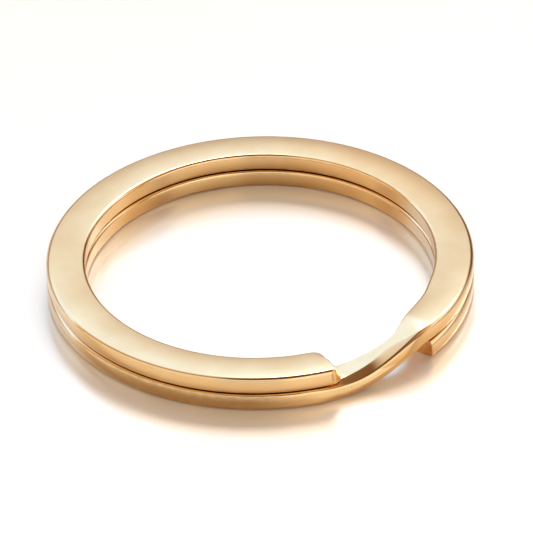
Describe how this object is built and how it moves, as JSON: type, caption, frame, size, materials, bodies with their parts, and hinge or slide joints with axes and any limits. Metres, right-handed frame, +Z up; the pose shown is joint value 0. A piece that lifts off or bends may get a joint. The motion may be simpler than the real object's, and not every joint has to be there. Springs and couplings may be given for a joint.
{
  "type": "split key ring",
  "caption": "Split ring of polished flat spring wire wound two turns, whose two free ends pry open to thread a key on.",
  "frame": {"origin": "the ring's centre, on the surface it lies on", "axes": "+Z up through the ring's hole; -Y is the side of the crossover and the upper free end"},
  "size_m": [0.03, 0.03, 0.0027],
  "materials": {
    "gold_plate": "polished gold plating on flat spring steel wire"
  },
  "bodies": {
    "lower_leaf": {"lower_free_end": "gold_plate", "lower_leaf_2": "gold_plate", "lower_leaf_3": "gold_plate", "lower_leaf_4": "gold_plate"},
    "lower_flex_1": {"lower_flex_1": "gold_plate"},
    "lower_flex_2": {"lower_flex_2": "gold_plate"},
    "lower_flex_3": {"lower_flex_3": "gold_plate"},
    "lower_flex_4": {"lower_flex_4": "gold_plate"},
    "middle": {"lower_run_1": "gold_plate", "lower_run_2": "gold_plate", "lower_run_3": "gold_plate", "crossover": "gold_plate", "upper_run_1": "gold_plate", "upper_run_2": "gold_plate", "upper_run_3": "gold_plate"},
    "upper_flex_1": {"upper_flex_1": "gold_plate"},
    "upper_flex_2": {"upper_flex_2": "gold_plate"},
    "upper_flex_3": {"upper_flex_3": "gold_plate"},
    "upper_flex_4": {"upper_flex_4": "gold_plate"},
    "upper_leaf": {"upper_leaf_1": "gold_plate", "upper_leaf_2": "gold_plate", "upper_leaf_3": "gold_plate", "upper_free_end": "gold_plate"}
  },
  "joints": [
    {"name": "lower_end_opens", "type": "hinge", "parent": "lower_leaf", "child": "middle", "pos_m": [-0.01174, 0.00934, 0.00136], "axis": [-0.6225, -0.7826, 0], "range_deg": [0, 6], "stiffness_Nm_per_rad": 2.8},
    {"name": "lower_twist_1", "type": "hinge", "parent": "lower_leaf", "child": "lower_flex_1", "pos_m": [-0.01174, 0.00934, 0.00136], "axis": [-0.6225, -0.7826, 0], "range_deg": [0, 0.36]},
    {"name": "lower_twist_2", "type": "hinge", "parent": "lower_leaf", "child": "lower_flex_2", "pos_m": [-0.01174, 0.00934, 0.00136], "axis": [-0.6225, -0.7826, 0], "range_deg": [0, 1.86]},
    {"name": "lower_twist_3", "type": "hinge", "parent": "lower_leaf", "child": "lower_flex_3", "pos_m": [-0.01174, 0.00934, 0.00136], "axis": [-0.6225, -0.7826, 0], "range_deg": [0, 4.14]},
    {"name": "lower_twist_4", "type": "hinge", "parent": "lower_leaf", "child": "lower_flex_4", "pos_m": [-0.01174, 0.00934, 0.00136], "axis": [-0.6225, -0.7826, 0], "range_deg": [0, 5.64]},
    {"name": "upper_end_opens", "type": "hinge", "parent": "middle", "child": "upper_leaf", "pos_m": [-0.00506, 0.01412, 0.00136], "axis": [-0.9415, -0.3371, 0], "range_deg": [0, 6], "stiffness_Nm_per_rad": 2.8},
    {"name": "upper_twist_1", "type": "hinge", "parent": "middle", "child": "upper_flex_1", "pos_m": [-0.00506, 0.01412, 0.00136], "axis": [-0.9415, -0.3371, 0], "range_deg": [0, 0.36]},
    {"name": "upper_twist_2", "type": "hinge", "parent": "middle", "child": "upper_flex_2", "pos_m": [-0.00506, 0.01412, 0.00136], "axis": [-0.9415, -0.3371, 0], "range_deg": [0, 1.86]},
    {"name": "upper_twist_3", "type": "hinge", "parent": "middle", "child": "upper_flex_3", "pos_m": [-0.00506, 0.01412, 0.00136], "axis": [-0.9415, -0.3371, 0], "range_deg": [0, 4.14]},
    {"name": "upper_twist_4", "type": "hinge", "parent": "middle", "child": "upper_flex_4", "pos_m": [-0.00506, 0.01412, 0.00136], "axis": [-0.9415, -0.3371, 0], "range_deg": [0, 5.64]}
  ],
  "couplings": [
    {"joint": "lower_twist_1", "follows": "lower_end_opens", "ratio": 0.06},
    {"joint": "lower_twist_2", "follows": "lower_end_opens", "ratio": 0.31},
    {"joint": "lower_twist_3", "follows": "lower_end_opens", "ratio": 0.69},
    {"joint": "lower_twist_4", "follows": "lower_end_opens", "ratio": 0.94},
    {"joint": "upper_twist_1", "follows": "upper_end_opens", "ratio": 0.06},
    {"joint": "upper_twist_2", "follows": "upper_end_opens", "ratio": 0.31},
    {"joint": "upper_twist_3", "follows": "upper_end_opens", "ratio": 0.69},
    {"joint": "upper_twist_4", "follows": "upper_end_opens", "ratio": 0.94}
  ]
}
